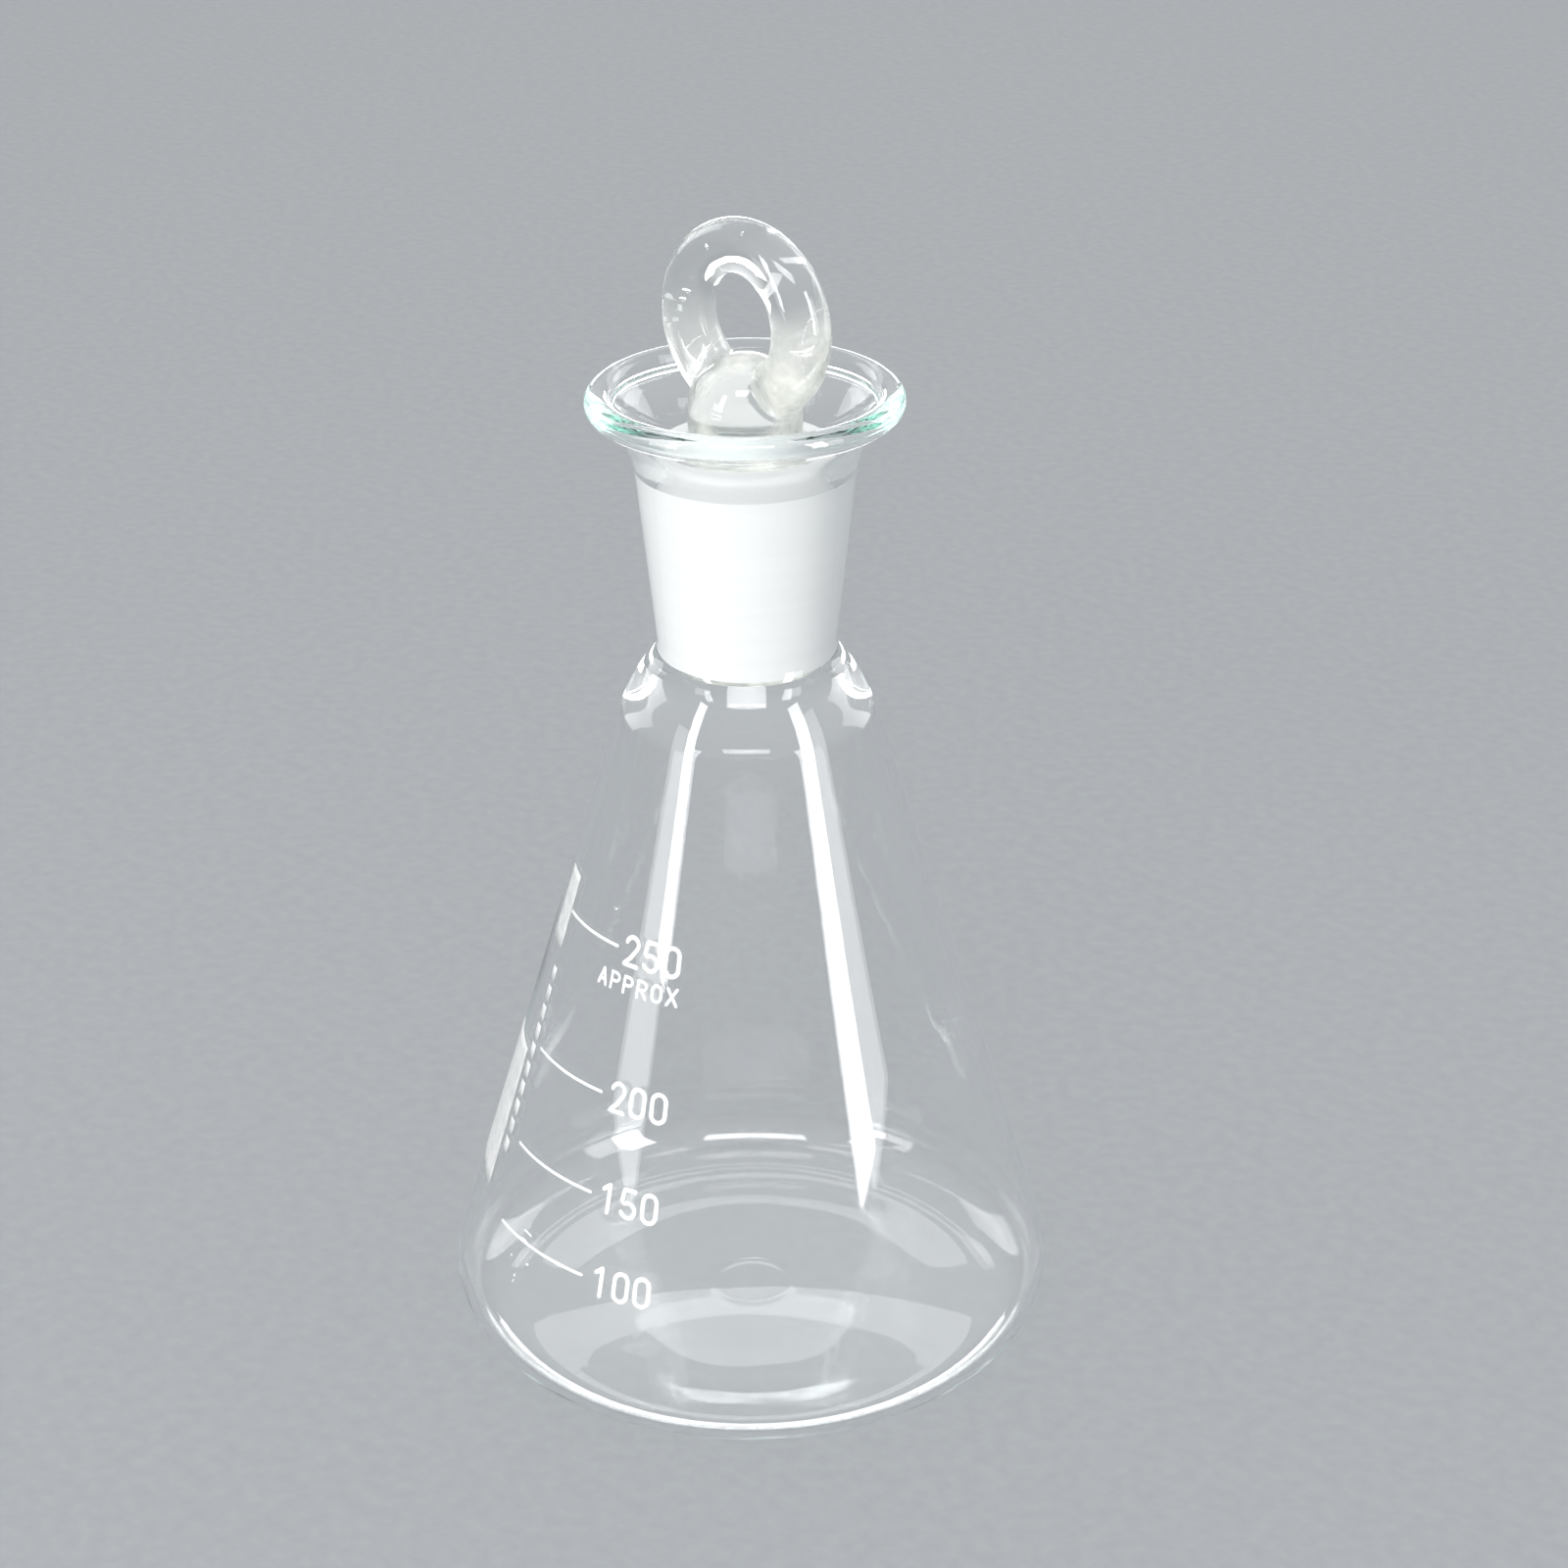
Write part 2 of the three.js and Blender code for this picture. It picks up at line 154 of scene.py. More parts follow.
# ------------------------------------------------------------------ meshes
def new_object(name, bm, materials):
    mesh = bpy.data.meshes.new(name)
    bm.to_mesh(mesh)
    bm.free()
    for material in materials:
        mesh.materials.append(material)
    mesh.shade_smooth()
    obj = bpy.data.objects.new(name, mesh)
    bpy.context.scene.collection.objects.link(obj)
    return obj


def turned(outline, zones=()):
    """bmesh turned about +Z from an outline that starts and ends on the axis.
    zones are (first, last, material index) for stretches of the outline."""
    bm = bmesh.new()
    rings = []
    for radius, height in outline:
        if radius < 1e-6:
            rings.append([bm.verts.new((0, 0, height * MM))])
            continue
        ring = []
        for k in range(TURN_STEPS):
            a = 2 * math.pi * k / TURN_STEPS
            ring.append(bm.verts.new((radius * math.sin(a) * MM, -radius * math.cos(a) * MM, height * MM)))
        rings.append(ring)
    for i, (lower, upper) in enumerate(zip(rings, rings[1:])):
        index = next((m for first, last, m in zones if first <= i < last), 0)
        for k in range(TURN_STEPS):
            n = (k + 1) % TURN_STEPS
            corners = [lower[k % len(lower)], lower[n % len(lower)],
                       upper[n % len(upper)], upper[k % len(upper)]]
            face = bm.faces.new(list(dict.fromkeys(corners)))
            face.material_index = index
            face.smooth = True
    return bm


# ------------------------------------------------------------------ materials
def new_material(name):
    material = bpy.data.materials.new(name)
    material.use_nodes = True
    nodes = material.node_tree.nodes
    nodes.clear()
    return material, nodes, material.node_tree.links


def noise(nodes, links, scale, detail=3.0, stretch=(1, 1, 1)):
    """A noise texture in object space, in waves per metre, stretched along the axes."""
    place = nodes.new("ShaderNodeTexCoord")
    mapping = nodes.new("ShaderNodeMapping")
    mapping.inputs["Scale"].default_value = stretch
    texture = nodes.new("ShaderNodeTexNoise")
    texture.inputs["Scale"].default_value = scale
    texture.inputs["Detail"].default_value = detail
    links.new(place.outputs["Object"], mapping.inputs["Vector"])
    links.new(mapping.outputs["Vector"], texture.inputs["Vector"])
    return texture.outputs["Fac"]


def mapped(nodes, links, source, low, high, start=0.25, end=0.75):
    """source, from start to end, taken to the range low to high."""
    spread = nodes.new("ShaderNodeMapRange")
    spread.inputs["From Min"].default_value = start
    spread.inputs["From Max"].default_value = end
    spread.inputs["To Min"].default_value = low
    spread.inputs["To Max"].default_value = high
    links.new(source, spread.inputs["Value"])
    return spread.outputs["Result"]


def bump(nodes, links, height, strength, distance):
    node = nodes.new("ShaderNodeBump")
    node.inputs["Strength"].default_value = strength
    node.inputs["Distance"].default_value = distance
    links.new(height, node.inputs["Height"])
    return node.outputs["Normal"]


def let_lamps_through(nodes, links, surface, tint):
    """Mixes in a Transparent shader for shadow and diffuse rays, so lamps light what is behind glass."""
    rays = nodes.new("ShaderNodeLightPath")
    clear = nodes.new("ShaderNodeBsdfTransparent")
    clear.inputs["Color"].default_value = (*tint, 1)
    for kind in ("Is Shadow Ray", "Is Diffuse Ray"):
        mix = nodes.new("ShaderNodeMixShader")
        links.new(rays.outputs[kind], mix.inputs[0])
        links.new(surface, mix.inputs[1])
        links.new(clear.outputs[0], mix.inputs[2])
        surface = mix.outputs[0]
    return surface


GLASS_IOR = 1.474                # borosilicate
GLASS_TINT = (0.72, 0.94, 0.88)  # what a long path through the glass lets through
# Painted milky white round the stopper's knuckle and the foot of its ring, standing in for the white that
# refraction of the ground faces shows at the edges of the glass there.
PAINTED_MILK_TINT = (0.95, 0.95, 0.88)
PAINTED_MILK_REACH = 8                   # how far above the knuckle the painted milky white fades out
PAINTED_MILK_SPREAD = (-4, 2)            # the painted milky white thickens from the first of these to the second, along X
# The window that the painted milky white leaves clear, on the side that faces the camera.
CLEAR_PATCH = (3.4, -4.2, PLUG_TOP + 0.55 * (KNUCKLE_TOP - PLUG_TOP))
CLEAR_PATCH_RADIUS = 4.14
CLEAR_PATCH_FADE = 1.61          # width of its soft edge


def multiplied(nodes, links, first, second):
    node = nodes.new("ShaderNodeMath")
    node.operation = "MULTIPLY"
    links.new(first, node.inputs[0])
    links.new(second, node.inputs[1])
    return node.outputs[0]


def painted_refraction_milk(nodes, links, clear):
    """Painted milky white where the ring was fused on, for the white that refraction of the ground faces
    shows there: it fades up the ring and leaves one patch clear, on the side that faces the camera.
    """
    milk = nodes.new("ShaderNodeBsdfPrincipled")
    milk.inputs["Base Color"].default_value = (*PAINTED_MILK_TINT, 1)
    milk.inputs["IOR"].default_value = GLASS_IOR
    milk.inputs["Transmission Weight"].default_value = 0.4
    milk.inputs["Roughness"].default_value = 0.3
    place = nodes.new("ShaderNodeTexCoord").outputs["Object"]
    split = nodes.new("ShaderNodeSeparateXYZ")
    links.new(place, split.inputs["Vector"])
    span = nodes.new("ShaderNodeVectorMath")
    span.operation = "DISTANCE"
    span.inputs[1].default_value = [c * MM for c in CLEAR_PATCH]
    links.new(place, span.inputs[0])
    around_patch = mapped(nodes, links, span.outputs["Value"], 0, 1,
                          CLEAR_PATCH_RADIUS * MM, (CLEAR_PATCH_RADIUS + CLEAR_PATCH_FADE) * MM)
    low_down = mapped(nodes, links, split.outputs["Z"], 0, 1,
                      (KNUCKLE_TOP + PAINTED_MILK_REACH) * MM, KNUCKLE_TOP * MM)
    thin_side, thick_side = (x * MM for x in PAINTED_MILK_SPREAD)
    one_side = mapped(nodes, links, split.outputs["X"], 0.25, 1, thin_side, thick_side)
    clouds = mapped(nodes, links, noise(nodes, links, 180, 3.0), 0.35, 1, 0.38, 0.58)
    milkiness = multiplied(nodes, links, around_patch, low_down)
    milkiness = multiplied(nodes, links, milkiness, one_side)
    milkiness = multiplied(nodes, links, milkiness, clouds)
    mix = nodes.new("ShaderNodeMixShader")
    links.new(milkiness, mix.inputs[0])
    links.new(clear, mix.inputs[1])
    links.new(milk.outputs[0], mix.inputs[2])
    return mix.outputs[0]


def clear_glass(name, waviness, swell_scale, haze, density, painted_milk=False):
    """Fire-polished glass, green where the path through it is long.
    waviness and swell_scale set its uneven surface, haze its smears and density how strong the green is."""
    material, nodes, links = new_material(name)
    glass = nodes.new("ShaderNodeBsdfPrincipled")
    glass.inputs["Base Color"].default_value = (1, 1, 1, 1)
    glass.inputs["IOR"].default_value = GLASS_IOR
    glass.inputs["Transmission Weight"].default_value = 1
    smears = noise(nodes, links, 55, 2.0, (1, 1, 0.35))
    links.new(mapped(nodes, links, smears, 0.0, haze), glass.inputs["Roughness"])
    swells = noise(nodes, links, swell_scale, 1.0, (1, 1, 0.3))
    links.new(bump(nodes, links, swells, waviness, 0.001), glass.inputs["Normal"])
    absorb = nodes.new("ShaderNodeVolumeAbsorption")
    absorb.inputs["Color"].default_value = (*GLASS_TINT, 1)
    absorb.inputs["Density"].default_value = density
    output = nodes.new("ShaderNodeOutputMaterial")
    # The switch adds the painted milky white that stands in for refraction round the stopper's knuckle.
    surface = painted_refraction_milk(nodes, links, glass.outputs[0]) if painted_milk else glass.outputs[0]
    surface = let_lamps_through(nodes, links, surface, (1, 1, 1))
    links.new(surface, output.inputs["Surface"])
    links.new(absorb.outputs[0], output.inputs["Volume"])
    return material


def ground_glass(name, see_through, shade):
    """Milky ground face of the joint, with the faint rings that the grinding leaves.
    shade is how white it is and see_through the share of light it lets in."""
    material, nodes, links = new_material(name)
    face = nodes.new("ShaderNodeBsdfPrincipled")
    face.inputs["IOR"].default_value = GLASS_IOR
    face.inputs["Transmission Weight"].default_value = see_through
    grain = noise(nodes, links, 900, 4.0)
    rings = noise(nodes, links, 160, 2.0, (0.1, 0.1, 4))
    ramp = nodes.new("ShaderNodeValToRGB")
    ramp.color_ramp.elements[0].position = 0.3
    ramp.color_ramp.elements[0].color = (shade - 0.025, shade - 0.02, shade - 0.025, 1)
    ramp.color_ramp.elements[1].position = 0.7
    ramp.color_ramp.elements[1].color = (shade, shade, shade - 0.005, 1)
    links.new(rings, ramp.inputs["Fac"])
    links.new(ramp.outputs["Color"], face.inputs["Base Color"])
    links.new(mapped(nodes, links, grain, 0.5, 0.7), face.inputs["Roughness"])
    links.new(bump(nodes, links, grain, 0.15, 0.0001), face.inputs["Normal"])
    output = nodes.new("ShaderNodeOutputMaterial")
    links.new(face.outputs[0], output.inputs["Surface"])
    return material


def fired_enamel(name, white, see_through):
    """Fired print with a soft sheen, thinner here and there."""
    material, nodes, links = new_material(name)
    ink = nodes.new("ShaderNodeBsdfPrincipled")
    ink.inputs["Transmission Weight"].default_value = see_through
    patches = noise(nodes, links, 700, 3.0)
    ramp = nodes.new("ShaderNodeValToRGB")
    ramp.color_ramp.elements[0].position = 0.35
    ramp.color_ramp.elements[0].color = (white - 0.12, white - 0.11, white - 0.12, 1)
    ramp.color_ramp.elements[1].position = 0.55
    ramp.color_ramp.elements[1].color = (white, white, white - 0.01, 1)
    links.new(patches, ramp.inputs["Fac"])
    links.new(ramp.outputs["Color"], ink.inputs["Base Color"])
    links.new(mapped(nodes, links, patches, 0.3, 0.5), ink.inputs["Roughness"])
    links.new(bump(nodes, links, noise(nodes, links, 2500), 0.2, 0.00005), ink.inputs["Normal"])
    output = nodes.new("ShaderNodeOutputMaterial")
    links.new(ink.outputs[0], output.inputs["Surface"])
    return material


def pale_floor():
    material, nodes, links = new_material("pale_floor")
    cloth = nodes.new("ShaderNodeBsdfPrincipled")
    cloth.inputs["Roughness"].default_value = 0.9
    cloth.inputs["Specular IOR Level"].default_value = 0.1
    ramp = nodes.new("ShaderNodeValToRGB")
    ramp.color_ramp.elements[0].position = 0.3
    ramp.color_ramp.elements[0].color = (0.34, 0.35, 0.36, 1)
    ramp.color_ramp.elements[1].position = 0.7
    ramp.color_ramp.elements[1].color = (0.365, 0.375, 0.385, 1)
    links.new(noise(nodes, links, 400, 2.0), ramp.inputs["Fac"])
    links.new(ramp.outputs["Color"], cloth.inputs["Base Color"])
    output = nodes.new("ShaderNodeOutputMaterial")
    links.new(cloth.outputs[0], output.inputs["Surface"])
    return material


vessel_glass = clear_glass("vessel_glass", 0.12, 38, 0.035, 9)
# The stopper's glass carries the painted milky white round its knuckle.
stopper_glass = clear_glass("stopper_glass", 0.35, 70, 0.08, 3, painted_milk=True)
joint_ground = ground_glass("joint_ground", 0.05, 0.9)
plug_ground = ground_glass("plug_ground", 0.2, 0.76)
enamel = fired_enamel("white_enamel", 0.98, 0)
panel_enamel = fired_enamel("panel_enamel", 0.9, 0.15)


# ------------------------------------------------------------------ flask
MARK_RADIUS = 5.4                # ring left under the floor by the tool that held the blown flask
MARK_WIDTH = 0.6
MARK_DEPTH = 0.05
INNER_HEEL_END = -82             # degrees round the heel where the inside of the floor begins


def underside(radius):
    """Height of the underside inside the standing ring."""
    rise = FLOOR_RISE * (1 - (radius / STANDING_INNER_RADIUS) ** 2) ** 2
    return rise + MARK_DEPTH * math.exp(-((radius - MARK_RADIUS) / MARK_WIDTH) ** 2)


def flask_outline():
    """Outline of the flask, up the outside and down the inside, with the first and last point of its bore."""
    radii = [STANDING_INNER_RADIUS * i / 54 for i in range(55)]
    kick = [(r, underside(r)) for r in radii]
    heel = arc(HEEL_CENTRE, HEEL_RADIUS, -90, CONE_LEAN, 24)
    cone = line(heel[-1], (cone_radius(SHOULDER_START), SHOULDER_START), 16)
    turn = (cone[-1][0] - SHOULDER_RADIUS * lean_cos, cone[-1][1] - SHOULDER_RADIUS * lean_sin)
    shoulder = arc(turn, SHOULDER_RADIUS, CONE_LEAN, SHOULDER_END_LEAN, 12)
    neck_foot = (neck_radius(NECK_FOOT), NECK_FOOT)
    fillet = sweep(shoulder[-1], -SHOULDER_END_LEAN, neck_foot, NECK_LEAN, 8)
    neck = line(neck_foot, (NECK_TOP_RADIUS, SOCKET_TOP), 6)
    lip = arc(BEAD_CENTRE, BEAD_RADIUS, BEAD_START, BEAD_END, 26)
    cup_outside = sweep(neck[-1], NECK_LEAN, lip[0], CUP_OUTER_LEAN, 14)
    cup_inside = sweep((SOCKET_TOP_BORE, SOCKET_TOP), NECK_LEAN, lip[-1], CUP_INNER_LEAN, 14)[::-1]
    bore = line((SOCKET_TOP_BORE, SOCKET_TOP), (bore_radius(SOCKET_BOTTOM), SOCKET_BOTTOM), 8)
    inner_start = (cone_radius(SHOULDER_START) - WALL / lean_cos, SHOULDER_START)
    throat = sweep(inner_start, -CONE_LEAN, bore[-1], THROAT_LEAN, 14)[::-1]
    inner_heel = arc(HEEL_CENTRE, HEEL_RADIUS - WALL, CONE_LEAN, INNER_HEEL_END, 20)
    inner_cone = line(inner_start, inner_heel[0], 16)
    floor_top = FLOOR_RISE + FLOOR_THICKNESS
    edge = inner_heel[-1]
    shares = [1 - i / 16 for i in range(1, 17)]
    floor = [(edge[0] * u, edge[1] + (floor_top - edge[1]) * (1 - u * u) ** 1.5) for u in shares]
    outside = kick + heel + cone[1:] + shoulder[1:] + fillet[1:] + neck[1:] + cup_outside[1:]
    outline = outside + lip[1:] + cup_inside[1:]
    bore_start = len(outline) - 1
    outline += bore[1:]
    bore_end = len(outline) - 1
    outline += throat[1:] + inner_cone[1:] + inner_heel[1:] + floor
    return outline, bore_start, bore_end


outline, bore_start, bore_end = flask_outline()
flask_glass = new_object(
    "flask_glass", turned(outline, [(bore_start, bore_end, 1)]), [vessel_glass, joint_ground])
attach(flask_glass, "flask")
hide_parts("vessel_base", "vessel_wall", "vessel_shoulder", "ground_socket",
            "mouth_cup", "mouth_bead")


# ------------------------------------------------------------------ stopper
HEAD_ROOT = 3                    # how deep the head reaches into the plug before the two are fused
FUSE_VOXEL = 0.25                # grain of the mesh that fuses knuckle and ring
ROD_UNEVENNESS = 0.05            # share by which the ring's rod gets thicker on one side
ROD_THICKEST = -30               # where it is thickest, in degrees up from the ring's right
ON_FACE = 0.03                   # how near to the taper a face must lie to count as ground
ON_TOP = 0.02                    # and how near to the plug's flat top


def swept_rod(bm, path, radii, sides=32):
    """Adds a round rod with flat ends along a path in the XZ plane."""
    rings = []
    for i, ((x, z), radius) in enumerate(zip(path, radii)):
        before = path[max(i - 1, 0)]
        after = path[min(i + 1, len(path) - 1)]
        heading = Vector((after[0] - before[0], 0, after[1] - before[1])).normalized()
        across = Vector((heading.z, 0, -heading.x))
        ring = []
        for k in range(sides):
            a = 2 * math.pi * k / sides
            spot = Vector((x, 0, z)) + (across * math.cos(a) + Vector((0, 1, 0)) * math.sin(a)) * radius
            ring.append(bm.verts.new(spot * MM))
        rings.append(ring)
    for lower, upper in zip(rings, rings[1:]):
        for k in range(sides):
            n = (k + 1) % sides
            bm.faces.new((lower[k], lower[n], upper[n], upper[k]))
    bm.faces.new(rings[0][::-1])
    bm.faces.new(rings[-1])


def stopper_head():
    """Knuckle and ring, run together as glass does when it is fused."""
    dome_base = KNUCKLE_TOP - KNUCKLE_RADIUS
    flare = (KNUCKLE_RADIUS + KNUCKLE_FLARE, PLUG_TOP + KNUCKLE_FLARE)
    root = PLUG_TOP - HEAD_ROOT
    bm = turned([
        (0, root),
        (flare[0], root),
        *arc(flare, KNUCKLE_FLARE, -90, -180, 10),
        *arc((0, dome_base), KNUCKLE_RADIUS, 0, 90, 20)[:-1],
        (0, KNUCKLE_TOP),
    ])
    turns = [math.radians(360 * i / 96 - 90) for i in range(97)]
    ring_path = [(LOOP_RADIUS * math.cos(a), LOOP_CENTRE + LOOP_RADIUS * math.sin(a)) for a in turns]
    thickest = math.radians(ROD_THICKEST)
    rod = [LOOP_ROD_RADIUS * (0.98 + ROD_UNEVENNESS * math.cos(a - thickest)) for a in turns]
    swept_rod(bm, ring_path, rod)
    head = new_object("stopper_head", bm, [stopper_glass])
    remesh = head.modifiers.new("fuse", "REMESH")
    remesh.mode = "VOXEL"
    remesh.voxel_size = FUSE_VOXEL * MM
    relax = head.modifiers.new("relax", "SMOOTH")
    relax.factor = 0.5
    relax.iterations = 16
    return head


def apply_modifiers(obj):
    """Swaps the object's mesh for the one its modifiers make."""
    evaluated = obj.evaluated_get(bpy.context.evaluated_depsgraph_get())
    mesh = bpy.data.meshes.new_from_object(evaluated)
    obj.modifiers.clear()
    obj.data = mesh
    return obj


def plug_outline():
    def radius(height):
        return bore_radius(height) - JOINT_CLEARANCE

    low = PLUG_BOTTOM + PLUG_EDGE
    high = PLUG_TOP - PLUG_EDGE
    bottom = arc((radius(low) - PLUG_EDGE, low), PLUG_EDGE, -90, 0, 8)
    top = arc((radius(high) - PLUG_EDGE, high), PLUG_EDGE, 0, 90, 8)
    ends = [(radius(z), z) for z in (SOCKET_BOTTOM, SOCKET_TOP)]
    taper = [bottom[-1], *line(*ends, 8), top[0]]
    return [(0, PLUG_BOTTOM), *bottom, *taper[1:], *top[1:], (0, PLUG_TOP)]


# Seeds caught in the ring: degrees round it, distance out from its centreline, and radius.
BUBBLES = ((166, 0.2, 0.4), (174, 0.6, 0.32), (119, 0.2, 0.26), (88, 1.0, 0.22))


def add_bubble(bm, centre, radius):
    """A round void in the glass: its faces point inwards."""
    made = bmesh.ops.create_icosphere(bm, subdivisions=3, radius=radius * MM,
                                      matrix=Matrix.Translation(Vector(centre) * MM))
    faces = {face for vert in made["verts"] for face in vert.link_faces}
    for face in faces:
        face.smooth = True
    bmesh.ops.reverse_faces(bm, faces=list(faces))


def stopper_zone(middle):
    """Material index of a face of the stopper: 0 clear, 1 ground inside the socket, 2 ground above it."""
    radius = math.hypot(middle.x, middle.y)
    on_taper = abs(radius - bore_radius(middle.z) + JOINT_CLEARANCE) < ON_FACE
    on_top = SOCKET_TOP < middle.z < PLUG_TOP + ON_TOP and radius > KNUCKLE_RADIUS + 1
    if on_taper and SOCKET_BOTTOM < middle.z < SOCKET_TOP:
        return 1
    if on_top or (on_taper and middle.z >= SOCKET_TOP):
        return 2
    return 0


def make_stopper():
    """Plug and head as one piece of glass, with the seeds in its ring."""
    plug = new_object("stopper_glass_body", turned(plug_outline()),
                      [stopper_glass, joint_ground, plug_ground])
    head = apply_modifiers(stopper_head())
    union = plug.modifiers.new("fuse", "BOOLEAN")
    union.operation = "UNION"
    union.solver = "EXACT"
    union.object = head
    apply_modifiers(plug)
    bpy.data.objects.remove(head)
    bm = bmesh.new()
    bm.from_mesh(plug.data)
    for face in bm.faces:
        face.material_index = stopper_zone(face.calc_center_median() / MM)
        face.smooth = True
    for edge in bm.edges:
        edge.smooth = edge.calc_face_angle(0) < math.radians(40)
    for angle, offset, radius in BUBBLES:
        a = math.radians(angle)
        reach = LOOP_RADIUS + offset
        add_bubble(bm, (reach * math.cos(a), 0, LOOP_CENTRE + reach * math.sin(a)), radius)
    bm.to_mesh(plug.data)
    bm.free()
    return plug


stopper = make_stopper()
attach(stopper, "stopper")
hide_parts("stopper_plug", "stopper_knuckle", "stopper_loop")

# ------------------------------------------------------------------ fired print
PRINT_THICKNESS = 0.07
DIGIT_HEIGHT = 4.6
DIGIT_WIDTH = 2.7
DIGIT_PITCH = 3.2
DIGIT_STROKE = 0.7
LETTER_HEIGHT = 2.7
LETTER_WIDTH = 1.85
LETTER_PITCH = 2.3
LETTER_STROKE = 0.5
NUMERAL_RIGHT_EDGE = 22          # degrees round the cone from -Y
LINE_SPAN = 27.5
LINE_GAP = 2.8
LINE_WIDTH = 0.5
WORD = "APPROX"
CORNER = 0.1                     # rounding where a stroke turns sharply
PRINT_LIFT = 0.01                # between the glass and the back of the print
WRITING_PANEL = (10, 22)         # width round the cone and length up its slope
LABEL_PATCH = (4.5, 11)
BAR_WIDTH = 1.6
BAR_LENGTH = 30
BAR_DASHES = 10
DASH_SHARE = 0.7                 # printed part of each dash's pitch
# Stray enamel beside a line: start, end and width of each fleck, measured from the middle of the line.
FLECKS = {
    "100": (((-3.1, 1.6), (-1.5, 1.45), 0.35), ((-3.3, 0.2), (-2.3, 0.15), 0.6),
            ((-4.9, -3.1), (-4.8, -3.0), 0.3), ((-1.1, -2.7), (-0.8, -2.6), 0.35),
            ((-3.1, -5.4), (-3.1, -5.2), 0.3), ((-3.2, -6.3), (-3.1, -6.1), 0.3)),
    "250": (((4.5, 4.7), (4.6, 4.75), 0.3), ((4.0, 4.8), (4.05, 4.8), 0.15)),
}


def on_cone(across, up, off, azimuth, height):
    """A point of flat artwork laid on the cone: across runs round it, up runs up its slope."""
    level = height + up * lean_cos
    angle = math.radians(azimuth) + across / cone_radius(height)
    radius = cone_radius(level) + off * lean_cos
    spot = Vector((radius * math.sin(angle), -radius * math.cos(angle), level + off * lean_sin))
    return spot * MM


def add_stroke(bm, path, width, azimuth, height):
    """A flat bead of enamel along a centreline, with round ends."""
    sides = 8
    first, second = Vector(path[0]), Vector(path[1])
    last, before_last = Vector(path[-1]), Vector(path[-2])
    start_way = (first - second).normalized()
    end_way = (last - before_last).normalized()
    steps = (1.0, 0.92, 0.7, 0.4)
    spots = [(first + start_way * width / 2 * s, math.sqrt(1 - s * s)) for s in steps]
    spots += [(Vector(p), 1.0) for p in path]
    spots += [(last + end_way * width / 2 * s, math.sqrt(1 - s * s)) for s in reversed(steps)]
    rings = []
    for i, (spot, share) in enumerate(spots):
        before = spots[max(i - 1, 0)][0]
        after = spots[min(i + 1, len(spots) - 1)][0]
        heading = (after - before).normalized()
        across = Vector((-heading.y, heading.x))
        ring = []
        for k in range(sides):
            a = 2 * math.pi * (k + 0.5) / sides
            flat = spot + across * (width / 2 * max(share, 0.05) * math.cos(a))
            off = PRINT_THICKNESS * (0.5 + 0.5 * math.sin(a) * max(share, 0.3)) + PRINT_LIFT
            ring.append(bm.verts.new(on_cone(flat.x, flat.y, off, azimuth, height)))
        rings.append(ring)
    for lower, upper in zip(rings, rings[1:]):
        for k in range(sides):
            n = (k + 1) % sides
            bm.faces.new((lower[k], upper[k], upper[n], lower[n]))
    bm.faces.new(rings[0])
    bm.faces.new(rings[-1][::-1])


def add_panel(bm, width, tall, azimuth, height, up=0.0):
    """A flat rectangle of enamel, stepped finely enough to follow the cone."""
    columns = max(2, math.ceil(width / 0.5))
    rows = max(2, math.ceil(tall / 1.5))
    layers = []
    for off in (PRINT_LIFT, PRINT_THICKNESS):
        layer = []
        for j in range(rows + 1):
            level = up + tall * (j / rows - 0.5)
            spots = [on_cone(width * (i / columns - 0.5), level, off, azimuth, height)
                     for i in range(columns + 1)]
            layer.append([bm.verts.new(spot) for spot in spots])
        layers.append(layer)
    under, over = layers
    for j in range(rows):
        for i in range(columns):
            bm.faces.new((over[j][i], over[j][i + 1], over[j + 1][i + 1], over[j + 1][i]))
            bm.faces.new((under[j][i], under[j + 1][i], under[j + 1][i + 1], under[j][i + 1]))
    border = [(0, i) for i in range(columns)] + [(j, columns) for j in range(rows)]
    border += [(rows, i) for i in range(columns, 0, -1)] + [(j, 0) for j in range(rows, 0, -1)]
    for (j, i), (m, n) in zip(border, border[1:] + border[:1]):
        bm.faces.new((under[j][i], under[m][n], over[m][n], over[j][i]))


def oval(width, tall):
    """An upright closed loop with straight sides, started at the bottom."""
    radius = width / 2
    straight = tall / 2 - radius
    top = arc((0, straight), radius, 0, 180, 12)
    bottom = arc((0, -straight), radius, 180, 360, 12)
    return bottom[6:] + top + bottom[:7]


def rounded(corners, radius=CORNER, steps=4):
    """A polyline whose inner corners are rounded off."""
    path = [corners[0]]
    for before, here, after in zip(corners, corners[1:], corners[2:]):
        into = (Vector(before) - Vector(here)).normalized() * radius
        out = (Vector(after) - Vector(here)).normalized() * radius
        for i in range(steps + 1):
            t = i / steps
            spot = Vector(here) + into * (1 - t) ** 2 + out * t ** 2
            path.append((spot.x, spot.y))
    path.append(corners[-1])
    return path


digit_top = (DIGIT_HEIGHT - DIGIT_STROKE) / 2
digit_side = (DIGIT_WIDTH - DIGIT_STROKE) / 2
letter_top = (LETTER_HEIGHT - LETTER_STROKE) / 2
letter_side = (LETTER_WIDTH - LETTER_STROKE) / 2


def bowl_strokes():
    """The upright and bowl that P and R share."""
    waist = -0.05
    bowl = (letter_top - waist) / 2
    centre = (letter_side - bowl, waist + bowl)
    upright = [(-letter_side, -letter_top), (-letter_side, letter_top)]
    curve = [(-letter_side, letter_top), *arc(centre, bowl, 90, -90, 8), (-letter_side, waist)]
    return [upright, curve]


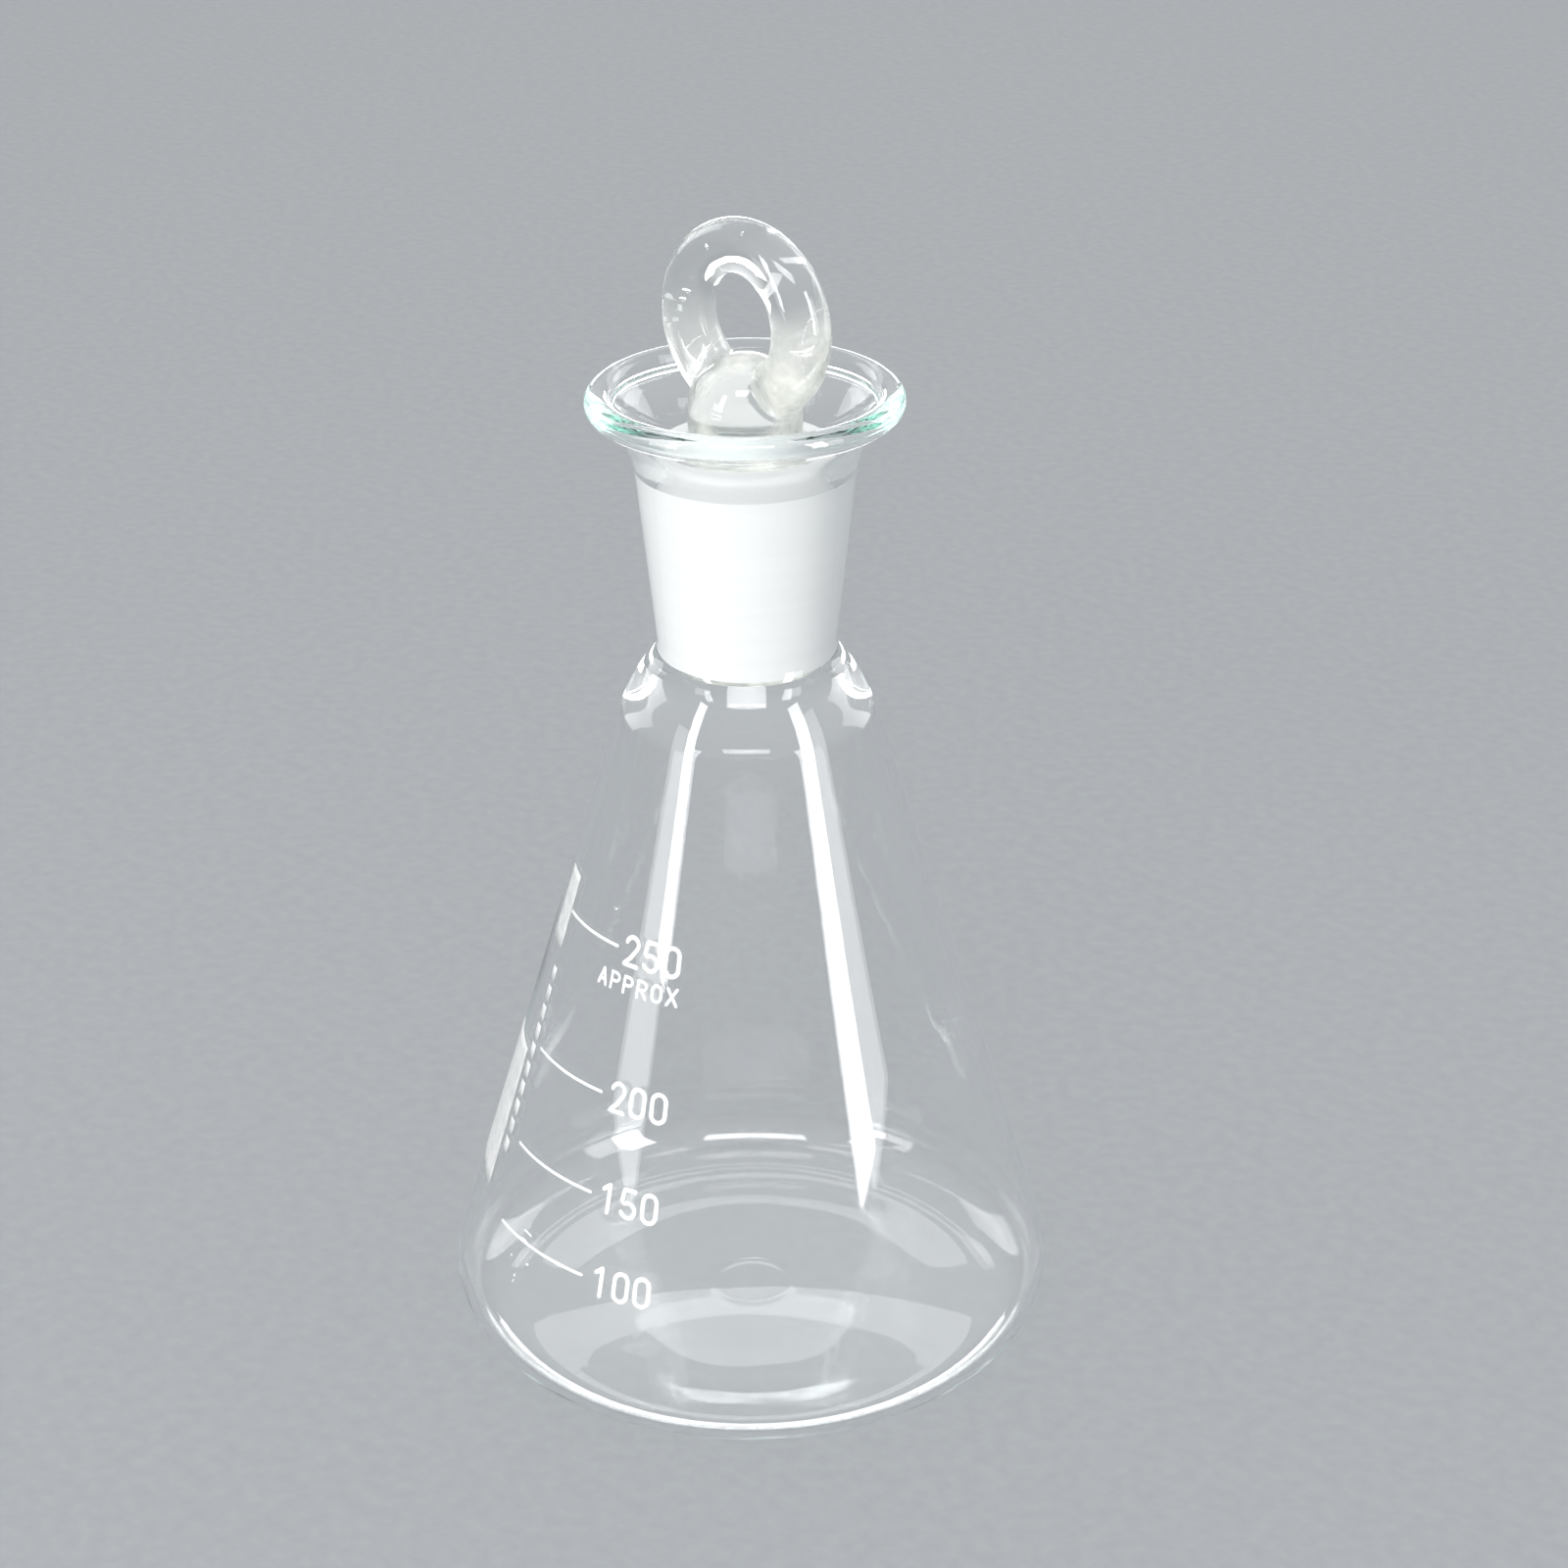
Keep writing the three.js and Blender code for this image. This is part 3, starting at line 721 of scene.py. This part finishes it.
# Centrelines of each character's strokes, in millimetres from its middle.
CHARACTERS = {
    "0": [oval(DIGIT_WIDTH - DIGIT_STROKE, DIGIT_HEIGHT - DIGIT_STROKE)],
    "1": [rounded([(-0.85, digit_top - 0.75), (0.1, digit_top), (0.1, -digit_top)])],
    "2": [[*arc((0, digit_top - digit_side), digit_side, 168, -28, 14),
           *rounded([(0, -0.9), (-digit_side, -digit_top), (digit_side + 0.1, -digit_top)])]],
    "5": [rounded([(digit_side * 0.85, digit_top), (-digit_side * 0.75, digit_top), (-digit_side, 0.25)])
          + arc((0, -digit_top + digit_side * 1.08), digit_side * 1.05, 125, -155, 14)],
    "A": [rounded([(-letter_side, -letter_top), (0, letter_top), (letter_side, -letter_top)], 0.08),
          [(-letter_side * 0.6, -letter_top * 0.4), (letter_side * 0.6, -letter_top * 0.4)]],
    "P": bowl_strokes(),
    "R": [*bowl_strokes(), [(-0.1, -0.05), (letter_side, -letter_top)]],
    "O": [oval(LETTER_WIDTH - LETTER_STROKE, LETTER_HEIGHT - LETTER_STROKE)],
    "X": [[(-letter_side, -letter_top), (letter_side, letter_top)],
          [(-letter_side, letter_top), (letter_side, -letter_top)]],
}


def ride_print(name, bm, material=enamel):
    """Makes the visible piece that stands for the CAD print node of that name."""
    bmesh.ops.recalc_face_normals(bm, faces=bm.faces)
    piece = new_object(name + "_print", bm, [material])
    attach(piece, "flask")
    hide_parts(name)


def print_character(name, strokes, width, across, height):
    """One character, its middle across from the right edge that all the numerals share."""
    bm = bmesh.new()
    for path in strokes:
        add_stroke(bm, [(x + across, y) for x, y in path], width, NUMERAL_RIGHT_EDGE, height)
    ride_print(name, bm)


def graduation_height(label):
    low, high = box(f"graduation_{label}")
    return (low.z + high.z) / 2


def print_scale():
    for label in ("100", "150", "200", "250"):
        height = graduation_height(label)
        radius = cone_radius(height)
        block = DIGIT_PITCH * (len(label) - 1) + DIGIT_WIDTH
        line_end = NUMERAL_RIGHT_EDGE - math.degrees(block / radius) - LINE_GAP
        half = math.radians(LINE_SPAN) * radius / 2
        bm = bmesh.new()
        line_middle = line_end - LINE_SPAN / 2
        add_stroke(bm, line((-half, 0), (half, 0), 40), LINE_WIDTH, line_middle, height)
        for start, end, width in FLECKS.get(label, ()):
            add_stroke(bm, [start, end], width, line_middle, height)
        ride_print(f"graduation_{label}", bm)
        for i, character in enumerate(label):
            across = DIGIT_WIDTH / 2 + DIGIT_PITCH * i - block
            print_character(f"numeral_{label}_digit_{i + 1}", CHARACTERS[character], DIGIT_STROKE,
                            across, height)


def print_word():
    low, high = box("word_letter_1")
    height = (low.z + high.z) / 2
    block = LETTER_PITCH * (len(WORD) - 1) + LETTER_WIDTH
    for i, character in enumerate(WORD):
        across = LETTER_WIDTH / 2 + LETTER_PITCH * i - block
        print_character(f"word_letter_{i + 1}", CHARACTERS[character], LETTER_STROKE, across, height)


def middle_of(node):
    """Azimuth in degrees and height in millimetres of a patch that lies on the cone."""
    low, high = box(node)
    middle = (low + high) / 2
    return math.degrees(math.atan2(middle.x, -middle.y)), middle.z


def print_panels():
    for node, size in (("writing_panel", WRITING_PANEL), ("label_patch", LABEL_PATCH)):
        bm = bmesh.new()
        add_panel(bm, *size, *middle_of(node))
        ride_print(node, bm, panel_enamel)
    bm = bmesh.new()
    pitch = BAR_LENGTH / BAR_DASHES
    for i in range(BAR_DASHES):
        up = pitch * (i - (BAR_DASHES - 1) / 2)
        add_panel(bm, BAR_WIDTH, pitch * DASH_SHARE, *middle_of("label_bar"), up=up)
    ride_print("label_bar", bm, panel_enamel)


print_scale()
print_word()
print_panels()

# ------------------------------------------------------------------ floor, lamps and camera
CAMERA_AZIMUTH = 43              # degrees from -Y towards +X
CAMERA_DISTANCE = 480            # level distance from the flask's axis
CAMERA_HEIGHT = 310.4
CAMERA_AIM_HEIGHT = 82.7
CAMERA_AIM_ASIDE = 4.9           # the camera aims this far to the right of the axis
CAMERA_ROLL = 0.24
LENS = 88.8                      # on a 36 mm sensor
LAMP_AIM_HEIGHT = 80
LAMP_SPREAD = 90                 # degrees
HORIZON_STRENGTH = 0.4
CEILING_STRENGTH = 1.15
CEILING_SINE = 0.6               # sine of the elevation from which the room is as bright as its ceiling
FLOOR_REACH = 40.0               # metres
FLOOR_GAP = 0.00005              # metres kept under the flask's standing ring
GLASS_BOUNCES = 64               # light inside the glass counts as glossy as well as transmitted


def around(azimuth, distance, height):
    """A point at an azimuth seen from the flask, in millimetres."""
    a = math.radians(azimuth)
    return Vector((distance * math.sin(a), -distance * math.cos(a), height))


def face_towards(obj, target):
    obj.rotation_euler = (target * MM - obj.location).to_track_quat("-Z", "Y").to_euler()


def add_floor():
    bm = bmesh.new()
    signs = ((-1, -1), (1, -1), (1, 1), (-1, 1))
    bm.faces.new([bm.verts.new((x * FLOOR_REACH, y * FLOOR_REACH, 0)) for x, y in signs])
    floor = new_object("floor", bm, [pale_floor()])
    floor.location.z = -FLOOR_GAP


def add_lamp(name, azimuth, distance, height, width, tall, watts, lights=False, shines=True):
    """A soft panel aimed at the flask: it lights dull surfaces, or shines in the glass, or both."""
    lamp = bpy.data.lights.new(name, "AREA")
    lamp.shape = "RECTANGLE"
    lamp.size = width * MM
    lamp.size_y = tall * MM
    lamp.energy = watts
    lamp.spread = math.radians(LAMP_SPREAD)
    obj = bpy.data.objects.new(name, lamp)
    obj.location = around(azimuth, distance, height) * MM
    face_towards(obj, Vector((0, 0, LAMP_AIM_HEIGHT)))
    obj.visible_camera = False
    obj.visible_diffuse = lights
    obj.visible_glossy = shines
    obj.visible_transmission = shines
    bpy.context.scene.collection.objects.link(obj)


def add_camera():
    lens = bpy.data.cameras.new("camera")
    lens.lens = LENS
    lens.sensor_width = 36
    camera = bpy.data.objects.new("camera", lens)
    camera.location = around(CAMERA_AZIMUTH, CAMERA_DISTANCE, CAMERA_HEIGHT) * MM
    a = math.radians(CAMERA_AZIMUTH)
    aside = Vector((math.cos(a), math.sin(a), 0)) * CAMERA_AIM_ASIDE
    target = aside + Vector((0, 0, CAMERA_AIM_HEIGHT))
    look = (target * MM - camera.location).to_track_quat("-Z", "Y").to_matrix()
    roll = Matrix.Rotation(math.radians(-CAMERA_ROLL), 3, "Z")
    camera.rotation_euler = (look @ roll).to_euler()
    bpy.context.scene.collection.objects.link(camera)
    bpy.context.scene.camera = camera


def add_world():
    """A room that is as bright as the floor at the horizon and brighter overhead."""
    world = bpy.data.worlds.new("studio")
    world.use_nodes = True
    nodes, links = world.node_tree.nodes, world.node_tree.links
    place = nodes.new("ShaderNodeTexCoord")
    split = nodes.new("ShaderNodeSeparateXYZ")
    rise = nodes.new("ShaderNodeMapRange")
    rise.inputs["From Min"].default_value = 0.0
    rise.inputs["From Max"].default_value = CEILING_SINE
    rise.inputs["To Min"].default_value = HORIZON_STRENGTH
    rise.inputs["To Max"].default_value = CEILING_STRENGTH
    background = nodes["Background"]
    background.inputs["Color"].default_value = (0.96, 0.98, 1.0, 1)
    links.new(place.outputs["Generated"], split.inputs["Vector"])
    links.new(split.outputs["Z"], rise.inputs["Value"])
    links.new(rise.outputs["Result"], background.inputs["Strength"])
    bpy.context.scene.world = world


add_floor()
add_lamp("left_strip", CAMERA_AZIMUTH - 52, 800, 370, 120, 600, 1.0)
add_lamp("right_strip", CAMERA_AZIMUTH + 52, 800, 320, 170, 640, 1.4)
add_lamp("left_glow", CAMERA_AZIMUTH - 60, 820, 200, 260, 400, 0.3)
add_lamp("right_glow", CAMERA_AZIMUTH + 62, 820, 260, 260, 520, 0.4)
add_lamp("left_rim", CAMERA_AZIMUTH - 132, 1000, 480, 420, 700, 0.6)
add_lamp("right_rim", CAMERA_AZIMUTH + 132, 1000, 480, 420, 700, 0.6)
add_lamp("back_panel", CAMERA_AZIMUTH + 180, 1200, 220, 700, 200, 0.8)
add_lamp("back_ceiling", CAMERA_AZIMUTH + 180, 1100, 860, 700, 130, 0.14)
add_lamp("key", CAMERA_AZIMUTH - 2, 900, 1200, 900, 300, 2.2)
add_lamp("fill", CAMERA_AZIMUTH - 26, 1400, 500, 700, 700, 3.7, lights=True, shines=False)
add_camera()
add_world()
bpy.context.scene.view_settings.view_transform = "Standard"
bpy.context.scene.cycles.max_bounces = GLASS_BOUNCES
bpy.context.scene.cycles.transmission_bounces = GLASS_BOUNCES
bpy.context.scene.cycles.glossy_bounces = GLASS_BOUNCES
bpy.context.scene.cycles.transparent_max_bounces = 32
bpy.context.scene.cycles.caustics_reflective = False
bpy.context.scene.cycles.caustics_refractive = False
